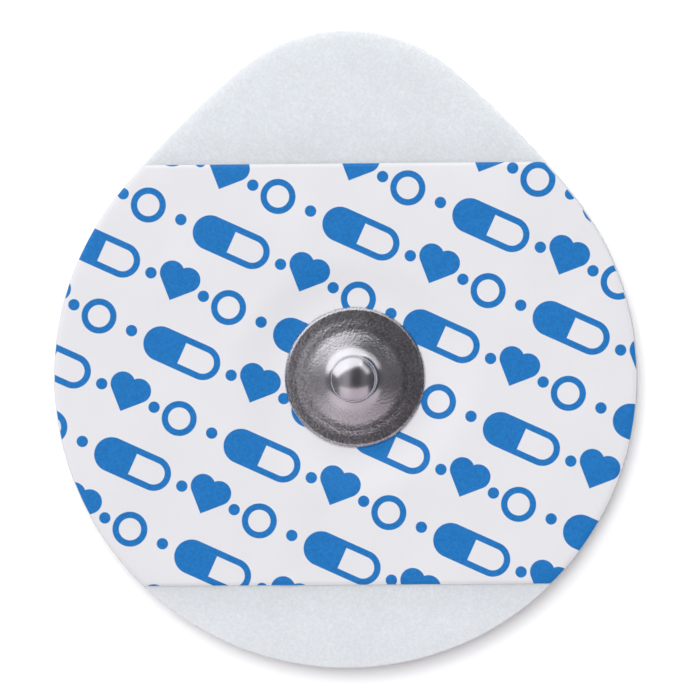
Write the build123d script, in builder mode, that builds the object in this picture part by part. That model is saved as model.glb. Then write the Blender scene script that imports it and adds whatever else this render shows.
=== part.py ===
from build123d import *
from math import cos, radians, sin, tan
import os

# Snap electrode for heart monitoring, in millimetres.
# The origin is on the snap's axis at the skin face.
# +Z points away from the skin and +Y towards the pull tab.
# Angles are in degrees, and the stud's are measured up from level.

# Foam backing, die-cut to a round body with a pull tab
body_radius = 25.4
tab_radius = 14.0
tab_reach = 16.2  # from the body's centre to the centre of the tab's round end
cut_shift = 0.85  # the outline is cut this far to the left of the snap's axis
foam_thickness = 1.6
foam_edge_chamfer = 0.2  # top edge pressed down by the cutting die
well_radius = 11.0

# Label across the foam, drawn down to the sensor over the well
label_thickness = 0.1
label_height = 36.8
label_shift = 0.2  # towards the tab
label_skew = 0.65  # anticlockwise from above
dish_depth = 0.3
dish_lip = 0.2  # level label inside the well's edge, before the dish
dish_floor_margin = 0.5  # level label outside the stud's rim

# Snap stud, pressed from sheet: rim, flange, cone, neck and head
# Its radii are on the outer skin
stud_sheet = 0.3
stud_radius = 6.14
rim_angle = 55.0
rim_hollow = 0.1  # height of the space under the flange, at the rim
rim_bend_radius = 0.25
flange_angle = 5.0
step_radius = 4.1  # crease where the flange meets the cone
cone_angle = 22.0
neck_flare_radius = 0.9
neck_straight = 0.08
neck_undercut = 0.22  # from the head in to the neck
underhead_angle = 45.0
underhead_bend_radius = 0.35
head_radius = 1.97
head_straight = 0.3  # cylindrical band that the lead wire's clip grips
crown_side_radius = 0.3
crown_angle = 34.0  # slope where the round crown ends
crown_radius = 3.1

# Sensor eyelet
eyelet_margin = 0.24  # flange inside the stud's rim
eyelet_thickness = 0.5
eyelet_edge_chamfer = 0.12
post_gap = 0.03  # radial, in the stud's neck
post_tip_chamfer = 0.4
label_hole_gap = 0.25  # radial, round the post

# Gel pad
gel_gap = 0.05  # to the well's wall, the label and the side of the eyelet's flange


def bend_run(radius, turn):
    """Straight length that a bend takes up on each side of its corner."""
    return radius * tan(radians(turn / 2))


def rise(distance, angle):
    """Height gained over a level distance."""
    return distance * tan(radians(angle))


def run(height, angle):
    """Level distance over which a height is gained."""
    return height / tan(radians(angle))


# Levels of the layers
label_base = foam_thickness
label_top = label_base + label_thickness
dish_base = label_base - dish_depth
dish_top = label_top - dish_depth
eyelet_base = dish_base - eyelet_thickness

# The stud's corners, from the rim up to the crown
neck_radius = head_radius - neck_undercut
flange_level = dish_top + rim_hollow + stud_sheet
flange_radius = stud_radius - run(flange_level - dish_top, rim_angle)
step_level = flange_level + rise(flange_radius - step_radius, flange_angle)
neck_base = step_level + rise(step_radius - neck_radius, cone_angle)
neck_top = neck_base + bend_run(neck_flare_radius, 90 - cone_angle) + neck_straight
head_base = neck_top + rise(neck_undercut, underhead_angle)
grip_base = head_base + bend_run(underhead_bend_radius, 90 - underhead_angle)
grip_top = grip_base + head_straight
crown_base = grip_top + bend_run(crown_side_radius, 90 - crown_angle)
crown_edge_radius = crown_radius * sin(radians(crown_angle))
crown_edge_level = crown_base + rise(head_radius - crown_edge_radius, crown_angle)
crown_centre_level = crown_edge_level - crown_radius * cos(radians(crown_angle))
stud_corners = [
    (head_radius, crown_base),
    (head_radius, head_base),
    (neck_radius, neck_top),
    (neck_radius, neck_base),
    (step_radius, step_level),
    (flange_radius, flange_level),
]
stud_bends = [crown_side_radius, underhead_bend_radius, 0, neck_flare_radius, 0, rim_bend_radius]

# Radii that line up or fit with one another
dish_radius = well_radius - dish_lip
dish_floor_radius = stud_radius + dish_floor_margin
eyelet_radius = stud_radius - eyelet_margin
post_radius = neck_radius - stud_sheet - post_gap
label_hole_radius = post_radius + label_hole_gap
gel_radius = well_radius - gel_gap
gel_recess_radius = eyelet_radius + gel_gap


# Die-cut outline: two circles and the straight flanks that touch both
with BuildSketch() as outline:
    with Locations((-cut_shift, 0)):
        Circle(body_radius)
    with Locations((-cut_shift, tab_reach)):
        Circle(tab_radius)
    make_hull()


# Foam backing with its gel well
with BuildPart() as foam_backing:
    add(outline.sketch)
    extrude(amount=foam_thickness)
    chamfer(foam_backing.faces().sort_by(Axis.Z)[-1].edges(), foam_edge_chamfer)
    with BuildSketch():
        Circle(well_radius)
    extrude(amount=foam_thickness, mode=Mode.SUBTRACT)


# Label: a band trimmed with the foam, ending where the foam's pressed edge begins, and a dish over the well
with BuildPart() as printed_label:
    with BuildSketch(Plane.XY.offset(label_base)):
        add(outline.sketch)
        offset(amount=-foam_edge_chamfer)
        with Locations((-cut_shift, label_shift)):
            Rectangle(2 * body_radius, label_height, rotation=label_skew, mode=Mode.INTERSECT)
        Circle(dish_radius, mode=Mode.SUBTRACT)
    extrude(amount=label_thickness)
    with BuildSketch(Plane.XZ):
        with BuildLine():
            Polyline(
                (label_hole_radius, dish_base),
                (dish_floor_radius, dish_base),
                (dish_radius, label_base),
                (dish_radius, label_top),
                (dish_floor_radius, dish_top),
                (label_hole_radius, dish_top),
                close=True,
            )
        make_face()
    revolve(axis=Axis.Z)


# Inside of the stud: its outline with sharp corners, drawn a sheet lower and moved in by the sheet all over
with BuildPart() as stud_hollow:
    with BuildSketch(Plane.XZ):
        with BuildLine():
            crown = CenterArc((0, crown_centre_level), crown_radius, 90, -crown_angle)
            Polyline(
                crown @ 1,
                *stud_corners,
                (stud_radius + run(stud_sheet, rim_angle), dish_top - stud_sheet),
                (0, dish_top - stud_sheet),
                crown @ 0,
            )
        make_face()
    revolve(axis=Axis.Z)
    offset(amount=-stud_sheet, kind=Kind.INTERSECTION)


# Snap stud: crown, head, neck, cone, flange and rim in one profile, with its bends, hollow from below
with BuildPart() as snap_stud:
    with BuildSketch(Plane.XZ):
        with BuildLine():
            crown = CenterArc((0, crown_centre_level), crown_radius, 90, -crown_angle)
            FilletPolyline(crown @ 1, *stud_corners, (stud_radius, dish_top), radius=stud_bends)
            Polyline((stud_radius, dish_top), (0, dish_top), crown @ 0)
        make_face()
    revolve(axis=Axis.Z)
    add(stud_hollow.part, mode=Mode.SUBTRACT)


# Sensor eyelet: a flange under the label, with a post up into the stud's neck and head
with BuildPart() as sensor_eyelet:
    with BuildSketch(Plane.XY.offset(eyelet_base)):
        Circle(eyelet_radius)
    extrude(amount=eyelet_thickness)
    chamfer(sensor_eyelet.edges().filter_by(GeomType.CIRCLE), eyelet_edge_chamfer)
    with BuildSketch(Plane.XY.offset(dish_base)):
        Circle(post_radius)
    extrude(amount=grip_top - dish_base)
    chamfer(sensor_eyelet.edges().filter_by(GeomType.CIRCLE).sort_by(Axis.Z)[-1], post_tip_chamfer)


# Gel pad: fills the well under the label, moulded round the eyelet's flange
with BuildPart() as gel_pad:
    with BuildSketch(Plane.XZ):
        with BuildLine():
            Polyline(
                (0, 0),
                (gel_radius, 0),
                (gel_radius, label_base - gel_gap),
                (dish_radius, label_base - gel_gap),
                (dish_floor_radius, dish_base - gel_gap),
                (gel_recess_radius, dish_base - gel_gap),
                (gel_recess_radius, eyelet_base),
                (0, eyelet_base),
                close=True,
            )
        make_face()
    revolve(axis=Axis.Z)


os.makedirs("parts", exist_ok=True)

foam_backing.part.label = "foam_backing"
export_step(foam_backing.part, "parts/foam_backing.step")

printed_label.part.label = "printed_label"
export_step(printed_label.part, "parts/printed_label.step")

snap_stud.part.label = "snap_stud"
export_step(snap_stud.part, "parts/snap_stud.step")

sensor_eyelet.part.label = "sensor_eyelet"
export_step(sensor_eyelet.part, "parts/sensor_eyelet.step")

gel_pad.part.label = "gel_pad"
export_step(gel_pad.part, "parts/gel_pad.step")
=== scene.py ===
"""Dresses the snap electrode: soft foam, printed label, pressed stud, sensor and gel, on a pale floor."""
import math

import bpy
import numpy as np
from mathutils import Matrix, Vector


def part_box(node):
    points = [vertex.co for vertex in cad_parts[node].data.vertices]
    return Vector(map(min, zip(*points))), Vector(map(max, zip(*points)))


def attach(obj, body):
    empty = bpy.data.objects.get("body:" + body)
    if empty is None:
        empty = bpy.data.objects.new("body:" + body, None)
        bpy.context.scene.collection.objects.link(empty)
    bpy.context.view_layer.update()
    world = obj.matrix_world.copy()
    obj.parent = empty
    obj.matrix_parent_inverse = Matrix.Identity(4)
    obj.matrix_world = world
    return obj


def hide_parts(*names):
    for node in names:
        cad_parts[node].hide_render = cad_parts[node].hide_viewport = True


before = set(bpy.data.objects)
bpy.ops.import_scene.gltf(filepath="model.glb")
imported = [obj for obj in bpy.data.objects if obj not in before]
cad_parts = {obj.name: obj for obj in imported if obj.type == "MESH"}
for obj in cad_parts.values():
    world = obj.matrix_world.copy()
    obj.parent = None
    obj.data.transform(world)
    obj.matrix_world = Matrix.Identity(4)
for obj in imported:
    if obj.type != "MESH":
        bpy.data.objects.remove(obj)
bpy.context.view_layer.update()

MM = 0.001

# Places and sizes that the frame gives
foam_low, foam_high = (np.array(corner, float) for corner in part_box("foam_backing"))
label_low, label_high = (np.array(corner, float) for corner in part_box("printed_label"))
stud_low, stud_high = (np.array(corner, float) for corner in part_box("snap_stud"))
eyelet_low, eyelet_high = (np.array(corner, float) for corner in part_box("sensor_eyelet"))
gel_low, gel_high = (np.array(corner, float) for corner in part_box("gel_pad"))

# Die-cut outline: a round body and a tab, in one convex line
body_radius = (foam_high[0] - foam_low[0]) / 2
body_centre = np.array([(foam_high[0] + foam_low[0]) / 2, foam_low[1] + body_radius])
tab_radius = 14.0 * MM
tab_reach = foam_high[1] - tab_radius - body_centre[1]
flank_radius = 85.0 * MM  # the flanks bow out a little between body and tab
foam_thickness = foam_high[2]
well_radius = 11.0 * MM

# The foam's soft shape
edge_round = 0.08 * MM  # top edge, pressed down by the cutting die
crown_drops = ((0.03 * MM, 0.7 * MM), (0.05 * MM, 1.6 * MM))  # fall at the cut edge, and where it fades
crown_under_label = 0.35  # share of that fall where the label stiffens the foam
stiff_within = -1.5 * MM  # that share is reached this far inside the label's edge
soft_beyond = 2.0 * MM  # and the full fall this far outside
foam_waves = ((9.0 * MM, 0.05 * MM, 11), (3.5 * MM, 0.012 * MM, 12))  # wavelength, height, seed
side_waist = 0.06 * MM  # the cut side is drawn in by this, half way up
side_foot = 0.03 * MM  # and by this at the skin face

# Label: a band across the foam, drawn down over the well
label_thickness = 0.1 * MM
label_inset = edge_round  # trimmed with the foam, up to its pressed edge
label_height = 36.7 * MM
label_centre = body_centre + np.array([0.0, 0.25 * MM])
label_skew = math.radians(0.65)
label_bed = 0.02 * MM  # the label's edges are pressed this far into the foam
label_bed_fade = 1.2 * MM
label_edge_share = 0.5  # of its thickness, where its cut edge is rolled down
label_edge_roll = 0.3 * MM
label_hole_radius = 1.67 * MM
dish_radius = 10.8 * MM
dish_floor_radius = stud_high[0] + 0.5 * MM
lift_height = 0.09 * MM  # one spot of the lower edge has come up
lift_place = -5.65 * MM
lift_width = 0.75 * MM
lift_fade = 0.5 * MM

# Snap stud, from its rim up to its crown
stud_sheet = 0.3 * MM
stud_radius = stud_high[0]
rim_angle = math.radians(76)
rim_bend_radius = 0.38 * MM
flange_angle = math.radians(4)
flange_bend_radius = 1.5 * MM
slope_radius = 5.1 * MM
slope_angle = math.radians(12)
shelf_radius = 4.59 * MM
shelf_angle = math.radians(7.5)
step_radius = 4.18 * MM
step_bend_radius = 2.2 * MM
cone_angle = math.radians(22)
cone_foot_angle = math.radians(19.8)  # the cone is a little hollow
cone_foot_radius = 2.6 * MM
cone_bend_radius = 3.0 * MM
neck_flare_radius = 0.9 * MM
neck_straight = 0.08 * MM
neck_undercut = 0.22 * MM
neck_bend_radius = 0.1 * MM
underhead_angle = math.radians(45)
underhead_bend_radius = 0.35 * MM
head_radius = 1.97 * MM
head_straight = 0.3 * MM
crown_side_radius = 0.3 * MM
crown_angle = math.radians(34)
crown_radius = 3.1 * MM
inside_clear = 0.02 * MM  # the inner skin ends this far above the foot

# Sensor and gel
post_gap = 0.03 * MM  # radial, in the stud's neck
disc_edge_bend = 0.12 * MM
post_foot_bend = 0.08 * MM
post_tip_bend = 0.4 * MM
gel_gap = 0.05 * MM  # to the label and to the side of the sensor's disc
gel_shoulder_bend = 0.35 * MM
gel_bend = 0.1 * MM
skin_gap = 0.004 * MM  # between faces of two pieces that lie on one another
pole_radius = 0.05 * MM  # first and last ring of a disc, closed by a pole

# Fineness of the meshes: points round each piece, and shares or places of the rings
foam_columns = 900
foam_top_rows = 34
foam_insets = MM * np.array([
    0.0, 0.015, 0.04, 0.075, 0.12, 0.18, 0.26, 0.4, 0.6, 0.85, 1.2, 1.6, 2.1, 2.7, 3.4, 4.2,
])
well_shares = (0.0, 0.35, 0.7)
side_shares = (0.93, 0.8, 0.6, 0.4, 0.2, 0.07)
under_shares = (0.75, 0.5, 0.25)
label_columns = 1200
label_floor_rows = 5
label_dish_rows = 15
label_rows = 24
label_edge_shares = (1.0, 0.7, 0.45, 0.25, 0.1, 0.0)
label_under_every = 3
stud_columns = 288
crown_rows = 24
crown_start = 0.02
disc_columns = 192

# Print: rows of plain motifs, in millimetres
print_turn = math.radians(24)  # the rows fall to the right by this
row_pitch = 5.3
row_period = 20.0
row_shift = 1.6
pill_place = -4.6
pill_half_length = 2.0
pill_radius = 1.25
heart_side = 2.15
heart_place = 2.55
ring_radius = 1.25
ring_place = 7.5
stroke = 0.56
dot_radius = 0.5
dot_places = (-9.4, 0.1, 5.1)
ink_edge = 0.03

# Colours, and sizes of the surface patterns in millimetres
foam_colour = (0.733, 0.768, 0.798, 1)
adhesive_colour = (0.78, 0.79, 0.76, 1)
foam_cell = 0.22
foam_grain = 0.35
foam_cloud = 4.0
painted_shade_reach = 4.0  # painted shade on the foam beside the label, fading out by here
film_colour = (0.785, 0.785, 0.812)
ink_colour = (0.012, 0.176, 0.505)
film_fibre = 0.25
film_cloud = 6.0
plate_colour = (0.61, 0.6, 0.645)
plate_pebble = 0.2
plate_cloud = 1.6
polish_zone = (2.3, 3.5)  # polished within the first radius, duller beyond the second
flange_zone = (3.7, 4.4)  # the pebbles are full beyond the second radius
sensor_colour = (0.32, 0.31, 0.3)
sensor_grain = 0.12
sensor_cloud = 1.8
gel_colour = (0.80, 0.87, 0.90)
gel_cloud = 2.5
gel_dimple = 0.8
noise_range = (0.3, 0.7)  # where most of a noise's values lie

# Picture: the photograph's frame is 700 pixels square
photo_pixels = 700
pixel_size = 0.0869 * MM
body_centre_pixel = (345.0, 377.4)
camera_lens = 500.0
camera_sensor = 36.0
camera_near = 0.01
camera_tilt = (0.055, 0.065)  # how far the camera leans to the right and towards the tab

# Studio floor, in metres
floor_half = 3.0
floor_level = -0.01 * MM
floor_colour = (0.97, 0.97, 0.97, 1)
floor_glow = 0.13

# Light panels: directions in degrees, sizes in metres; radiance 1 looks white by itself
light_panels = [
    dict(name="key", azimuth=117, from_zenith=60, distance=2.4, width=5.2, height=2.28,
         radiance=1.15, colour=(1.0, 1.0, 0.99)),
    dict(name="fill", azimuth=270, from_zenith=56.4, distance=1.318, width=2.4, height=1.133,
         radiance=0.57, colour=(1.0, 0.88, 0.94), lean=32),
    dict(name="top", azimuth=105, from_zenith=30, distance=3.2, width=3.0, height=3.0,
         radiance=3.1, colour=(0.98, 0.99, 1.0), shows=False),
    dict(name="side", azimuth=44, from_zenith=50.3, distance=1.2, width=0.8, height=0.27,
         radiance=0.85, colour=(1.0, 1.0, 1.0)),
]

# Room: its brightness at stops from left to right, and from low to high
room_colour = (1.0, 0.97, 1.0, 1)
room_levels = {
    "X": ((-0.7, 0.32), (-0.4, 0.37), (-0.02, 0.064), (0.28, 0.064), (0.62, 0.18)),
    "Z": ((0.45, 0.42), (0.92, 1.0)),
}


def axis_distance(points):
    """Distance of each point from the snap's axis."""
    return np.hypot(points[..., 0], points[..., 1])


def smooth(low, high, value):
    """0 below low, 1 above high, and an easy curve between."""
    t = np.clip((value - low) / (high - low), 0.0, 1.0)
    return t * t * (3 - 2 * t)


def waves(points, wavelength, height, seed, count=16):
    """Gentle unevenness: plane waves in seeded directions, about this high from hollow to crest."""
    rng = np.random.default_rng(seed)
    turn = rng.uniform(0, 2 * math.pi, count)
    phase = rng.uniform(0, 2 * math.pi, count)
    number = 2 * math.pi / (wavelength * rng.uniform(0.75, 1.5, count))
    total = np.zeros(points.shape[:-1])
    for k in range(count):
        along = points[..., 0] * math.cos(turn[k]) + points[..., 1] * math.sin(turn[k])
        total += np.sin(number[k] * along + phase[k])
    return height * total / math.sqrt(8 * count)


def flank_arc():
    """The right flank's arc, seen from the body's centre: its own centre, and its turns at both ends."""
    to_body = flank_radius - body_radius
    to_tab = flank_radius - tab_radius
    y = (tab_reach ** 2 + to_body ** 2 - to_tab ** 2) / (2 * tab_reach)
    x = -math.sqrt(to_body ** 2 - y ** 2)
    return np.array([x, y]), math.atan2(-y, -x), math.atan2(tab_reach - y, -x)


def outline_inset(points):
    """How far each point lies inside the die-cut outline."""
    x = np.abs(points[..., 0] - body_centre[0])
    y = points[..., 1] - body_centre[1]
    centre, body_turn, tab_turn = flank_arc()
    turn = np.arctan2(y - centre[1], x - centre[0])
    flank = np.hypot(x - centre[0], y - centre[1]) - flank_radius
    body = np.hypot(x, y) - body_radius
    tab = np.hypot(x, y - tab_reach) - tab_radius
    return -np.where(turn < body_turn, body, np.where(turn > tab_turn, tab, flank))


def band_offset(points):
    """Distance beyond the label's straight edges: below zero on the label."""
    dx = points[..., 0] - label_centre[0]
    dy = points[..., 1] - label_centre[1]
    return np.abs(dy * math.cos(label_skew) - dx * math.sin(label_skew)) - label_height / 2


def foam_height(points):
    """Height of the foam's soft top, without the rounding of its cut edge."""
    inset = np.maximum(outline_inset(points), 0.0)
    beyond = band_offset(points)
    bare = smooth(stiff_within, soft_beyond, beyond)
    share = crown_under_label + (1 - crown_under_label) * bare
    height = np.full(points.shape[:-1], foam_thickness)
    for drop, fade in crown_drops:
        height -= share * drop * np.exp(-inset / fade)
    height -= label_bed * np.exp(-np.abs(beyond) / label_bed_fade)
    for wavelength, rise, seed in foam_waves:
        height += waves(points, wavelength, rise, seed) - rise / 2
    return height


def label_base(points):
    """Height of the label's underside: on the foam, and down to the sensor over the well."""
    radius = axis_distance(points)
    drawn = 1 - smooth(dish_floor_radius, dish_radius, radius)
    height = foam_height(points) * (1 - drawn) + label_low[2] * drawn
    lower = points[..., 1] < label_centre[1]
    along = (points[..., 0] - lift_place) / lift_width
    near_edge = np.exp(band_offset(points) / lift_fade)
    height += lift_height * np.exp(-along * along) * near_edge * lower
    return height


def outline_line(count):
    """Points evenly along the die-cut outline, with the outward direction at each."""
    right, body_turn, tab_turn = flank_arc()
    left = right * (-1, 1)
    arcs = [
        (right, flank_radius, body_turn, tab_turn),
        (np.array([0.0, tab_reach]), tab_radius, tab_turn, math.pi - tab_turn),
        (left, flank_radius, math.pi - tab_turn, math.pi - body_turn),
        (np.zeros(2), body_radius, math.pi - body_turn, 2 * math.pi + body_turn),
    ]
    ends = np.cumsum([radius * (last - first) for _, radius, first, last in arcs])
    points = np.zeros((count, 2))
    outward = np.zeros((count, 2))
    for k in range(count):
        along = ends[-1] * k / count
        part = int(np.searchsorted(ends, along, side="right"))
        centre, radius, _, last = arcs[part]
        turn = last - (ends[part] - along) / radius
        outward[k] = math.cos(turn), math.sin(turn)
        points[k] = body_centre + centre + radius * outward[k]
    return points, outward


def rounded(corners, radii, arc_step, run_step):
    """Points along straight runs with rounded corners. The first and last corner stay sharp."""
    corners = [np.array(corner, float) for corner in corners]
    line = [corners[0]]
    for k in range(1, len(corners) - 1):
        back = corners[k - 1] - corners[k]
        ahead = corners[k + 1] - corners[k]
        back /= np.linalg.norm(back)
        ahead /= np.linalg.norm(ahead)
        half = math.acos(max(-1.0, min(1.0, float(back @ ahead)))) / 2
        trim = radii[k - 1] / math.tan(half)
        middle = back + ahead
        centre = corners[k] + middle / np.linalg.norm(middle) * radii[k - 1] / math.sin(half)
        first = corners[k] + back * trim - centre
        last = corners[k] + ahead * trim - centre
        turn = math.pi - 2 * half
        sense = 1.0 if first[0] * last[1] - first[1] * last[0] > 0 else -1.0
        steps = max(2, math.ceil(turn / arc_step))
        for i in range(steps + 1):
            c, s = math.cos(sense * turn * i / steps), math.sin(sense * turn * i / steps)
            line.append(centre + np.array([c * first[0] - s * first[1], s * first[0] + c * first[1]]))
    line.append(corners[-1])
    filled = [line[0]]
    for a, b in zip(line, line[1:]):
        steps = max(1, math.ceil(np.linalg.norm(b - a) / run_step))
        filled += [a + (b - a) * i / steps for i in range(1, steps + 1)]
    return filled


def skin(name, rings, loop=False, start_pole=False, end_pole=False, sharp=40):
    """A mesh object of quads between closed rings of points, joined end to end or closed by poles."""
    rings = [np.asarray(ring, float) for ring in rings]
    count = len(rings[0])
    points = np.concatenate(rings).tolist()
    joins = [(k * count, (k + 1) * count) for k in range(len(rings) - 1)]
    if loop:
        joins.append(((len(rings) - 1) * count, 0))
    faces = []
    for a, b in joins:
        for k in range(count):
            n = (k + 1) % count
            faces.append((a + k, a + n, b + n, b + k))
    poles = [(start_pole, rings[0], 0, False), (end_pole, rings[-1], (len(rings) - 1) * count, True)]
    for wanted, ring, first, ahead in poles:
        if wanted:
            tip = len(points)
            points.append(ring.mean(axis=0).tolist())
            for k in range(count):
                n = (k + 1) % count
                faces.append((first + k, first + n, tip) if ahead else (first + n, first + k, tip))
    mesh = bpy.data.meshes.new(name)
    mesh.from_pydata(points, [], faces)
    mesh.polygons.foreach_set("use_smooth", [True] * len(mesh.polygons))
    mesh.set_sharp_from_angle(angle=math.radians(sharp))
    mesh.validate()
    piece = bpy.data.objects.new(name, mesh)
    bpy.context.scene.collection.objects.link(piece)
    return piece


def turned(profile, count):
    """Rings about the snap's axis, one for each radius and height of a profile."""
    angle = np.linspace(0, 2 * math.pi, count, endpoint=False)
    circle = np.stack([np.cos(angle), np.sin(angle)], axis=1)
    return [np.column_stack([radius * circle, np.full(count, height)]) for radius, height in profile]


def dress(piece, material, node):
    """Gives a piece its material, and sets it in the frame in place of a CAD node."""
    piece.data.materials.append(material)
    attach(piece, "root")
    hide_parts(node)
    return piece


class Shader:
    """A node material, with short calls that add a node and give its output."""

    def __init__(self, name):
        self.material = bpy.data.materials.new(name)
        self.material.use_nodes = True
        self.tree = self.material.node_tree
        self.surface = self.tree.nodes["Principled BSDF"]

    def set(self, **values):
        """Constant values, or outputs, for the surface's inputs; underscores stand for spaces."""
        for name, value in values.items():
            self.feed(self.surface.inputs[name.replace("_", " ")], value)

    def feed(self, socket, value):
        """Links an output to a socket, or sets a constant."""
        if isinstance(value, bpy.types.NodeSocket):
            self.tree.links.new(value, socket)
        else:
            socket.default_value = value

    def node(self, kind, **settings):
        """A new node with its settings."""
        node = self.tree.nodes.new(kind)
        for name, value in settings.items():
            setattr(node, name, value)
        return node

    def place(self):
        """Position on the piece, in millimetres."""
        scale = self.node("ShaderNodeVectorMath", operation="SCALE")
        self.feed(scale.inputs[0], self.node("ShaderNodeTexCoord").outputs["Object"])
        scale.inputs["Scale"].default_value = 1 / MM
        return scale.outputs[0]

    def facing_up(self):
        """Height of the surface's own outward direction: 1 on top, -1 underneath."""
        return self.split(self.node("ShaderNodeTexCoord").outputs["Normal"])["Z"]

    def split(self, vector):
        """A vector's three parts."""
        node = self.node("ShaderNodeSeparateXYZ")
        self.feed(node.inputs[0], vector)
        return node.outputs

    def math(self, operation, *values):
        """One step of arithmetic."""
        node = self.node("ShaderNodeMath", operation=operation)
        for socket, value in zip(node.inputs, values):
            self.feed(socket, value)
        return node.outputs[0]

    def chain(self, operation, values):
        """The same step of arithmetic along a list of values."""
        result = values[0]
        for value in values[1:]:
            result = self.math(operation, result, value)
        return result

    def add(self, *values):
        return self.chain("ADD", values)

    def minus(self, *values):
        return self.chain("SUBTRACT", values)

    def times(self, *values):
        return self.chain("MULTIPLY", values)

    def least(self, *values):
        return self.chain("MINIMUM", values)

    def size(self, value):
        """A value without its sign."""
        return self.math("ABSOLUTE", value)

    def length(self, x, y):
        """Distance from zero in a plane."""
        return self.math("SQRT", self.add(self.times(x, x), self.times(y, y)))

    def carry(self, curve, *numbers):
        """A value carried from one range to another."""
        node = self.node("ShaderNodeMapRange", interpolation_type=curve)
        for socket, number in zip(node.inputs, numbers):
            self.feed(socket, number)
        return node.outputs[0]

    def ramp(self, value, low, high, start=0.0, end=1.0):
        """An easy curve from start at low to end at high."""
        return self.carry("SMOOTHSTEP", value, low, high, start, end)

    def scale(self, value, low, high, start, end):
        """A straight run from start at low to end at high."""
        return self.carry("LINEAR", value, low, high, start, end)

    def between(self, share, start, end):
        """A straight run from start to end as a share goes from 0 to 1."""
        return self.scale(share, 0.0, 1.0, start, end)

    def vary(self, noise, start, end):
        """A straight run from start to end over most of a noise's values."""
        return self.scale(noise, *noise_range, start, end)

    def noise(self, place, size, detail=2.0, roughness=0.5):
        """Soft noise from 0 to 1, with lumps of about this size in millimetres."""
        node = self.node("ShaderNodeTexNoise")
        self.feed(node.inputs["Vector"], place)
        node.inputs["Scale"].default_value = 1 / size
        node.inputs["Detail"].default_value = detail
        node.inputs["Roughness"].default_value = roughness
        return node.outputs["Fac"]

    def cells(self, place, size, feature="F1"):
        """Distance from cell centres, with cells of about this size in millimetres."""
        node = self.node("ShaderNodeTexVoronoi", feature=feature)
        self.feed(node.inputs["Vector"], place)
        node.inputs["Scale"].default_value = 1 / size
        return node.outputs["Distance"]

    def mix(self, share, first, second):
        """Blend of two colours."""
        node = self.node("ShaderNodeMix", data_type="RGBA")
        self.feed(node.inputs["Factor"], share)
        self.feed(node.inputs["A"], first)
        self.feed(node.inputs["B"], second)
        return node.outputs["Result"]

    def shade(self, colour, level):
        """A colour times a level."""
        node = self.node("ShaderNodeVectorMath", operation="SCALE")
        self.feed(node.inputs[0], colour)
        self.feed(node.inputs["Scale"], level)
        return node.outputs[0]

    def bump(self, height, depth):
        """Surface relief; depth in millimetres for heights from 0 to 1."""
        node = self.node("ShaderNodeBump")
        node.inputs["Strength"].default_value = 1.0
        node.inputs["Distance"].default_value = depth * MM
        self.feed(node.inputs["Height"], height)
        self.feed(self.surface.inputs["Normal"], node.outputs[0])


def beyond_label(shader, place):
    """Distance past the label's straight edges, in millimetres."""
    x, y, _ = shader.split(place)
    across = shader.times(shader.minus(y, label_centre[1] / MM), math.cos(label_skew))
    along = shader.times(shader.minus(x, label_centre[0] / MM), math.sin(label_skew))
    return shader.minus(shader.size(shader.minus(across, along)), label_height / 2 / MM)


def foam_material():
    """Closed-cell foam: cool white, matte, with fine cells and a glossy adhesive underneath, and painted
    shade on its cut side and beside the label.
    """
    shader = Shader("foam")
    place = shader.place()
    cells = shader.cells(place, foam_cell)
    grain = shader.noise(place, foam_grain, detail=3.0, roughness=0.6)
    cloud = shader.noise(place, foam_cloud)
    up = shader.facing_up()
    under = shader.ramp(up, -0.6, -0.9)
    # Painted shade: the foam's cut side is darkened a little.
    cut = shader.ramp(shader.size(up), 0.97, 0.45)
    # Painted shade beside the label: the up-facing foam is darkened near the label's straight edges, fading
    # out a few millimetres away.
    near_label = shader.ramp(beyond_label(shader, place), painted_shade_reach, 0.0)
    pressed = shader.times(shader.ramp(up, 0.0, 0.5), near_label)
    speckle = shader.add(shader.scale(cells, 0.0, 0.9, 0.955, 1.045), shader.vary(grain, -0.03, 0.03))
    level = shader.times(speckle, shader.vary(cloud, 0.985, 1.015))
    # Both painted shades, on the cut side and beside the label, darken the foam's colour here.
    level = shader.times(level, shader.between(cut, 1.0, 0.97), shader.between(pressed, 1.0, 0.945))
    base = shader.mix(under, foam_colour, adhesive_colour)
    roughness = shader.times(shader.vary(grain, 0.7, 0.85), shader.between(under, 1.0, 0.4))
    shader.set(Base_Color=shader.shade(base, level), Roughness=roughness)
    shader.set(Subsurface_Weight=0.55, Subsurface_Radius=(1.0, 1.0, 1.0), Subsurface_Scale=1.8 * MM)
    shader.set(IOR=1.35, Specular_IOR_Level=0.3)
    shader.bump(shader.add(cells, grain), 0.012)
    return shader.material


def disc(shader, u, v, radius):
    """Distance outside a round spot."""
    return shader.minus(shader.length(u, v), radius)


def outlined(shader, distance):
    """Distance outside a line drawn along a shape's edge."""
    return shader.minus(shader.size(distance), stroke / 2)


def heart(shader, u, v):
    """Distance outside a heart: a square on its corner and two half circles."""
    half = heart_side / 2
    right = shader.times(shader.add(v, u), math.sqrt(0.5))
    left = shader.times(shader.minus(v, u), math.sqrt(0.5))
    square = shader.minus(shader.math("MAXIMUM", shader.size(right), shader.size(left)), half)
    right_lobe = disc(shader, shader.minus(right, half), left, half)
    left_lobe = disc(shader, right, shader.minus(left, half), half)
    return shader.least(square, right_lobe, left_lobe)


def pill(shader, u, v):
    """Distance outside a capsule that is filled on one half and outlined on the other."""
    past = shader.math("MAXIMUM", shader.minus(shader.size(u), pill_half_length), 0.0)
    body = disc(shader, past, v, pill_radius)
    return shader.least(outlined(shader, body), shader.math("MAXIMUM", body, u))


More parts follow.
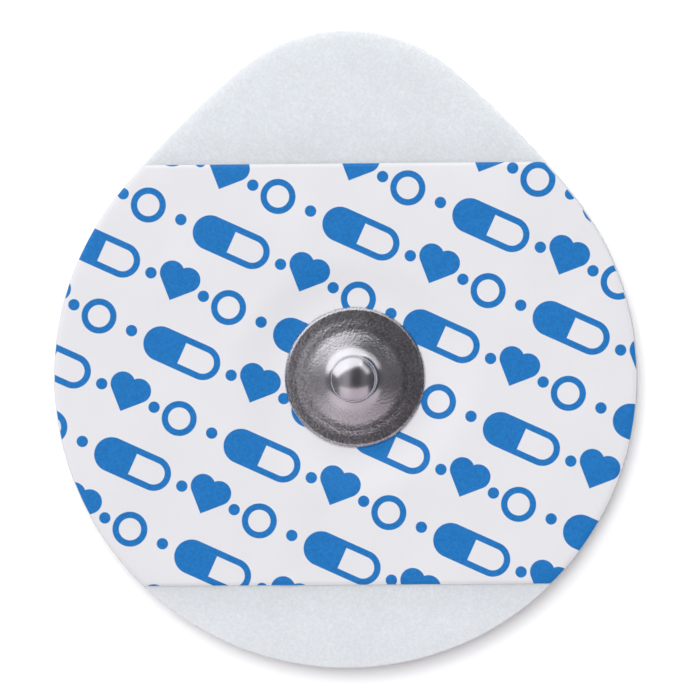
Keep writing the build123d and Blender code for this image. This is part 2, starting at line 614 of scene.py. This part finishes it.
def print_mask(shader, place):
    """1 on the printed motifs, in rows that are each moved along by half a period."""
    x, y, _ = shader.split(place)
    c, s = math.cos(print_turn), math.sin(print_turn)
    along = shader.minus(shader.times(x, c), shader.times(y, s))
    across = shader.add(shader.times(x, s), shader.times(y, c), row_shift)
    row = shader.math("FLOOR", shader.math("DIVIDE", across, row_pitch))
    v = shader.math("WRAP", shader.minus(across, row_pitch / 2), row_pitch / 2, -row_pitch / 2)
    shifted = shader.add(along, shader.times(row, row_period / 2))
    u = shader.math("WRAP", shifted, row_period / 2, -row_period / 2)
    shapes = [heart(shader, shader.minus(u, heart_place), v)]
    shapes.append(pill(shader, shader.minus(u, pill_place), v))
    shapes.append(outlined(shader, disc(shader, shader.minus(u, ring_place), v, ring_radius)))
    for dot_place in dot_places:
        shapes.append(disc(shader, shader.minus(u, dot_place), v, dot_radius))
    return shader.ramp(shader.least(*shapes), ink_edge, -ink_edge)


def label_material():
    """White film with blue print on its upper side."""
    shader = Shader("printed_film")
    place = shader.place()
    fibre = shader.noise(place, film_fibre, detail=3.0)
    cloud = shader.noise(place, film_cloud)
    film = shader.shade(film_colour, shader.vary(cloud, 0.985, 1.015))
    ink = shader.shade(ink_colour, shader.vary(fibre, 0.88, 1.12))
    top = shader.ramp(shader.facing_up(), 0.2, 0.6)
    inked = shader.times(print_mask(shader, place), top)
    roughness = shader.add(shader.between(inked, 0.5, 0.42), shader.vary(fibre, -0.04, 0.04))
    shader.set(Base_Color=shader.mix(inked, film, ink), Roughness=roughness, Specular_IOR_Level=0.35)
    shader.bump(fibre, 0.002)
    return shader.material


def stud_material():
    """Plated sheet: polished head, duller cone and pebbled flange."""
    shader = Shader("plated_sheet")
    place = shader.place()
    x, y, _ = shader.split(place)
    radius = shader.length(x, y)
    outer = shader.ramp(radius, *polish_zone)
    pebble = shader.noise(place, plate_pebble, detail=1.0)
    cloud = shader.noise(place, plate_cloud)
    speck_share = shader.times(outer, shader.ramp(radius, *flange_zone, 0.35, 1.0))
    speck = shader.times(shader.vary(pebble, -0.29, 0.29), speck_share)
    level = shader.add(shader.vary(cloud, 0.95, 1.05), speck)
    level = shader.times(level, shader.between(outer, 1.18, 0.99))
    roughness = shader.add(shader.between(outer, 0.22, 0.28), shader.vary(cloud, -0.02, 0.03))
    shader.set(Base_Color=shader.shade(plate_colour, level), Roughness=roughness, Metallic=1.0)
    relief = shader.times(shader.between(outer, 0.05, 1.0), shader.ramp(radius, *flange_zone, 0.75, 1.0))
    shader.bump(shader.times(pebble, relief), 0.03)
    return shader.material


def sensor_material():
    """Moulded plastic with a dull grey silver chloride coating."""
    shader = Shader("sensor_coating")
    place = shader.place()
    grain = shader.noise(place, sensor_grain, detail=3.0, roughness=0.6)
    cloud = shader.noise(place, sensor_cloud)
    level = shader.add(shader.vary(grain, 0.93, 1.07), shader.vary(cloud, -0.08, 0.08))
    shader.set(Base_Color=shader.shade(sensor_colour, level), Roughness=shader.vary(grain, 0.42, 0.58))
    shader.bump(grain, 0.006)
    return shader.material


def gel_material():
    """Clear, tacky gel with a wet gloss."""
    shader = Shader("clear_gel")
    place = shader.place()
    cloud = shader.noise(place, gel_cloud)
    dimple = shader.noise(place, gel_dimple)
    shader.set(Base_Color=shader.shade(gel_colour, shader.vary(cloud, 0.96, 1.04)))
    shader.set(Roughness=shader.vary(dimple, 0.08, 0.18), IOR=1.36, Transmission_Weight=0.8)
    shader.bump(dimple, 0.02)
    return shader.material


def make_foam():
    """Foam with a crowned top, pressed edges, a waisted cut side and the gel well through it."""
    line, outward = outline_line(foam_columns)
    inner = line - foam_insets[-1] * outward
    well = inner / axis_distance(inner)[:, None] * well_radius

    def level(points, height):
        return np.column_stack([points, np.broadcast_to(height, len(points))])

    def edge_fall(inset):
        reach = max(edge_round - inset, 0.0)
        return edge_round - math.sqrt(edge_round ** 2 - reach ** 2)

    rings = [level(well, foam_thickness * t) for t in well_shares]
    for t in np.linspace(0.0, 1.0, foam_top_rows)[:-1]:
        points = well + t * (inner - well)
        rings.append(level(points, foam_height(points)))
    for inset in foam_insets[::-1]:
        points = line - inset * outward
        rings.append(level(points, foam_height(points) - edge_fall(inset)))
    top = rings[-1][:, 2]
    for t in side_shares:
        points = line - side_waist * math.sin(math.pi * t) * outward
        rings.append(level(points, top * t))
    rings.append(level(line - side_foot * outward, 0.0))
    for t in under_shares:
        rings.append(level(well + t * (inner - well), 0.0))
    foam = skin("foam_pad", rings, loop=True)
    dress(foam, foam_material(), "foam_backing")


def label_reach(direction):
    """Distance from the snap's axis to the label's edge in each direction, found by halving."""
    near = np.zeros(len(direction))
    far = np.full(len(direction), 2 * body_radius)
    for _ in range(40):
        middle = (near + far) / 2
        points = direction * middle[:, None]
        inside = (outline_inset(points) > label_inset) & (band_offset(points) < 0)
        near = np.where(inside, middle, near)
        far = np.where(inside, far, middle)
    return near


def make_label():
    """Film laid over the foam and drawn down over the well, with a hole for the sensor's post."""
    angle = np.linspace(0, 2 * math.pi, label_columns, endpoint=False)
    direction = np.stack([np.cos(angle), np.sin(angle)], axis=1)
    reach = label_reach(direction)
    ring = np.ones(label_columns)
    radii = [ring * r for r in np.linspace(label_hole_radius, dish_floor_radius, label_floor_rows)]
    radii += [ring * r for r in np.linspace(dish_floor_radius, dish_radius, label_dish_rows)[1:]]
    radii += [dish_radius + (reach - dish_radius) * t for t in np.linspace(0, 1, label_rows)[1:-1]]
    radii += [reach - label_edge_roll * t for t in label_edge_shares]
    rings = []
    for radius in radii:
        points = direction * radius[:, None]
        rolled = 1 - smooth(0.0, label_edge_roll, reach - radius)
        thickness = label_thickness * (1 - rolled * (1 - label_edge_share))
        rings.append(np.column_stack([points, label_base(points) + thickness]))
    for radius in radii[::-label_under_every]:
        points = direction * radius[:, None]
        rings.append(np.column_stack([points, label_base(points) + skin_gap]))
    label = skin("film_label", rings, loop=True)
    dress(label, label_material(), "printed_label")


def stud_outline():
    """The crown's arc, the corners from its edge down to the stud's foot, and the bend at each."""
    centre = stud_high[2] - crown_radius
    crown_edge = crown_radius * math.sin(crown_angle)
    crown_level = centre + crown_radius * math.cos(crown_angle)
    crown_base = crown_level - (head_radius - crown_edge) * math.tan(crown_angle)
    grip_top = crown_base - crown_side_radius * math.tan((math.pi / 2 - crown_angle) / 2)
    grip_base = grip_top - head_straight
    head_base = grip_base - underhead_bend_radius * math.tan((math.pi / 2 - underhead_angle) / 2)
    neck_radius = head_radius - neck_undercut
    neck_top = head_base - neck_undercut * math.tan(underhead_angle)
    neck_base = neck_top - neck_straight - neck_flare_radius * math.tan((math.pi / 2 - cone_angle) / 2)
    step_level = neck_base - (step_radius - neck_radius) * math.tan(cone_angle)
    cone_foot_level = step_level + (step_radius - cone_foot_radius) * math.tan(cone_foot_angle)
    shelf_level = step_level - (shelf_radius - step_radius) * math.tan(shelf_angle)
    slope_level = shelf_level - (slope_radius - shelf_radius) * math.tan(slope_angle)
    foot = stud_low[2]
    fall = math.tan(flange_angle)
    flange_level = slope_level - (stud_radius - slope_radius) * fall
    flange_radius = stud_radius - (flange_level - foot) / math.tan(rim_angle)
    flange_level += (stud_radius - flange_radius) * fall
    crown = [
        (crown_radius * math.sin(crown_angle * t), centre + crown_radius * math.cos(crown_angle * t))
        for t in np.linspace(crown_start, 1.0, crown_rows)[:-1]
    ]
    corners = [
        (crown_edge, crown_level),
        (head_radius, crown_base),
        (head_radius, head_base),
        (neck_radius, neck_top),
        (neck_radius, neck_base),
        (cone_foot_radius, cone_foot_level),
        (step_radius, step_level),
        (shelf_radius, shelf_level),
        (slope_radius, slope_level),
        (flange_radius, flange_level),
        (stud_radius, foot),
    ]
    bends = [
        crown_side_radius,
        underhead_bend_radius,
        neck_bend_radius,
        neck_flare_radius,
        cone_bend_radius,
        step_bend_radius,
        flange_bend_radius,
        flange_bend_radius,
        rim_bend_radius,
    ]
    return crown, corners, bends


def make_stud():
    """Pressed stud: the outer skin in fine steps, and the inside a sheet's thickness away."""
    crown, corners, bends = stud_outline()
    outside = crown + rounded(corners, bends, arc_step=math.radians(5), run_step=0.12 * MM)
    outside = np.array(outside)
    ahead = np.gradient(outside, axis=0)
    ahead /= np.linalg.norm(ahead, axis=1)[:, None]
    inside = outside + stud_sheet * np.stack([ahead[:, 1], -ahead[:, 0]], axis=1)
    keep = (inside[:, 1] > stud_low[2] + inside_clear) & (inside[:, 0] > 0)
    inside = inside[keep][::-2]
    foot = [(stud_radius - stud_sheet / math.sin(rim_angle), stud_low[2])]
    profile = outside.tolist() + foot + inside.tolist()
    stud = skin("stud_shell", turned(profile, stud_columns), start_pole=True, end_pole=True)
    dress(stud, stud_material(), "snap_stud")


def make_sensor():
    """Sensor: a disc with rounded edges, and the post that goes up into the stud."""
    post_radius = head_radius - neck_undercut - stud_sheet - post_gap
    disc_top = label_low[2] - skin_gap
    corners = [
        (pole_radius, eyelet_low[2]),
        (eyelet_high[0], eyelet_low[2]),
        (eyelet_high[0], disc_top),
        (post_radius, disc_top),
        (post_radius, eyelet_high[2]),
        (pole_radius, eyelet_high[2]),
    ]
    bends = [disc_edge_bend, disc_edge_bend, post_foot_bend, post_tip_bend]
    profile = rounded(corners, bends, arc_step=math.radians(12), run_step=0.5 * MM)
    sensor = skin("sensor_disc", turned(profile, disc_columns), start_pole=True, end_pole=True)
    dress(sensor, sensor_material(), "sensor_eyelet")


def make_gel():
    """Gel that fills the well round the sensor's disc, with a soft shoulder at the skin face."""
    recess = eyelet_high[0] + gel_gap
    floor = eyelet_low[2] - skin_gap
    shelf = label_low[2] - gel_gap
    corners = [
        (pole_radius, gel_low[2]),
        (gel_high[0], gel_low[2]),
        (gel_high[0], gel_high[2]),
        (dish_floor_radius, shelf),
        (recess, shelf),
        (recess, floor),
        (pole_radius, floor),
    ]
    bends = [gel_shoulder_bend, gel_bend, gel_bend, gel_bend, gel_bend]
    profile = rounded(corners, bends, arc_step=math.radians(12), run_step=0.6 * MM)
    gel = skin("gel_disc", turned(profile, disc_columns), start_pole=True, end_pole=True)
    dress(gel, gel_material(), "gel_pad")


def make_floor():
    """Plain pale floor under the electrode, with a faint glow that keeps it white."""
    mesh = bpy.data.meshes.new("floor")
    half = floor_half
    corners = [(x, y, floor_level) for x, y in ((-half, -half), (half, -half), (half, half), (-half, half))]
    mesh.from_pydata(corners, [], [(0, 1, 2, 3)])
    floor = bpy.data.objects.new("floor", mesh)
    bpy.context.scene.collection.objects.link(floor)
    shader = Shader("pale_floor")
    shader.set(Base_Color=floor_colour, Roughness=0.9, Specular_IOR_Level=0.0)
    shader.set(Emission_Color=(1, 1, 1, 1), Emission_Strength=floor_glow)
    mesh.materials.append(shader.material)


def sky_direction(azimuth, from_zenith):
    """Unit vector; azimuth is anticlockwise from +X, both in degrees."""
    a, z = math.radians(azimuth), math.radians(from_zenith)
    return Vector((math.sin(z) * math.cos(a), math.sin(z) * math.sin(a), math.cos(z)))


def panel(name, azimuth, from_zenith, distance, width, height, radiance, colour, shows=True, lean=None):
    """A soft light panel that faces the electrode, or leans from level by an angle of its own."""
    lamp = bpy.data.lights.new(name, "AREA")
    lamp.shape = "RECTANGLE"
    lamp.size = width
    lamp.size_y = height
    lamp.energy = radiance * math.pi * width * height
    lamp.color = colour
    holder = bpy.data.objects.new(name, lamp)
    towards = sky_direction(azimuth, from_zenith)
    holder.location = towards * distance
    back = towards if lean is None else sky_direction(azimuth, lean)
    holder.rotation_euler = back.to_track_quat("Z", "Y").to_euler()
    holder.visible_glossy = shows
    bpy.context.scene.collection.objects.link(holder)


def make_lights():
    """Key panel at the upper left, a warmer fill below, a small side panel and an overhead soft light."""
    for settings in light_panels:
        panel(**settings)


def make_room():
    """A dim room, lighter at the left and overhead."""
    world = bpy.data.worlds.new("studio")
    world.use_nodes = True
    bpy.context.scene.world = world
    nodes, links = world.node_tree.nodes, world.node_tree.links
    background = nodes["Background"]
    split = nodes.new("ShaderNodeSeparateXYZ")
    links.new(nodes.new("ShaderNodeTexCoord").outputs["Generated"], split.inputs[0])
    strength = nodes.new("ShaderNodeMath")
    strength.operation = "MULTIPLY"
    links.new(strength.outputs[0], background.inputs["Strength"])
    for socket, (axis, stops) in zip(strength.inputs, room_levels.items()):
        place = nodes.new("ShaderNodeMapRange")
        place.inputs["From Min"].default_value = -1.0
        links.new(split.outputs[axis], place.inputs["Value"])
        ramp = nodes.new("ShaderNodeValToRGB")
        ramp.color_ramp.interpolation = "EASE"
        elements = ramp.color_ramp.elements
        while len(elements) < len(stops):
            elements.new(1.0)
        for element, (at, level) in zip(elements, stops):
            element.position = (at + 1) / 2
            element.color = (level, level, level, 1.0)
        links.new(place.outputs[0], ramp.inputs[0])
        links.new(ramp.outputs[0], socket)
    background.inputs["Color"].default_value = room_colour


def make_camera():
    """Camera above the label, a little to the right and towards the tab."""
    middle = photo_pixels / 2
    target = Vector((
        body_centre[0] + (middle - body_centre_pixel[0]) * pixel_size,
        body_centre[1] + (body_centre_pixel[1] - middle) * pixel_size,
        label_high[2],
    ))
    back = Vector((camera_tilt[0], camera_tilt[1], 1.0)).normalized()
    right = Vector((0, 1, 0)).cross(back).normalized()
    up = back.cross(right)
    field = photo_pixels * pixel_size
    place = target + back * (field * camera_lens / camera_sensor)
    data = bpy.data.cameras.new("camera")
    data.lens = camera_lens
    data.sensor_width = camera_sensor
    data.clip_start = camera_near
    camera = bpy.data.objects.new("camera", data)
    camera.matrix_world = Matrix((
        (right[0], up[0], back[0], place[0]),
        (right[1], up[1], back[1], place[1]),
        (right[2], up[2], back[2], place[2]),
        (0, 0, 0, 1),
    ))
    bpy.context.scene.collection.objects.link(camera)
    bpy.context.scene.camera = camera


make_camera()
make_foam()
make_label()
make_stud()
make_sensor()
make_gel()
make_floor()
make_lights()
make_room()
bpy.context.scene.view_settings.view_transform = "Standard"
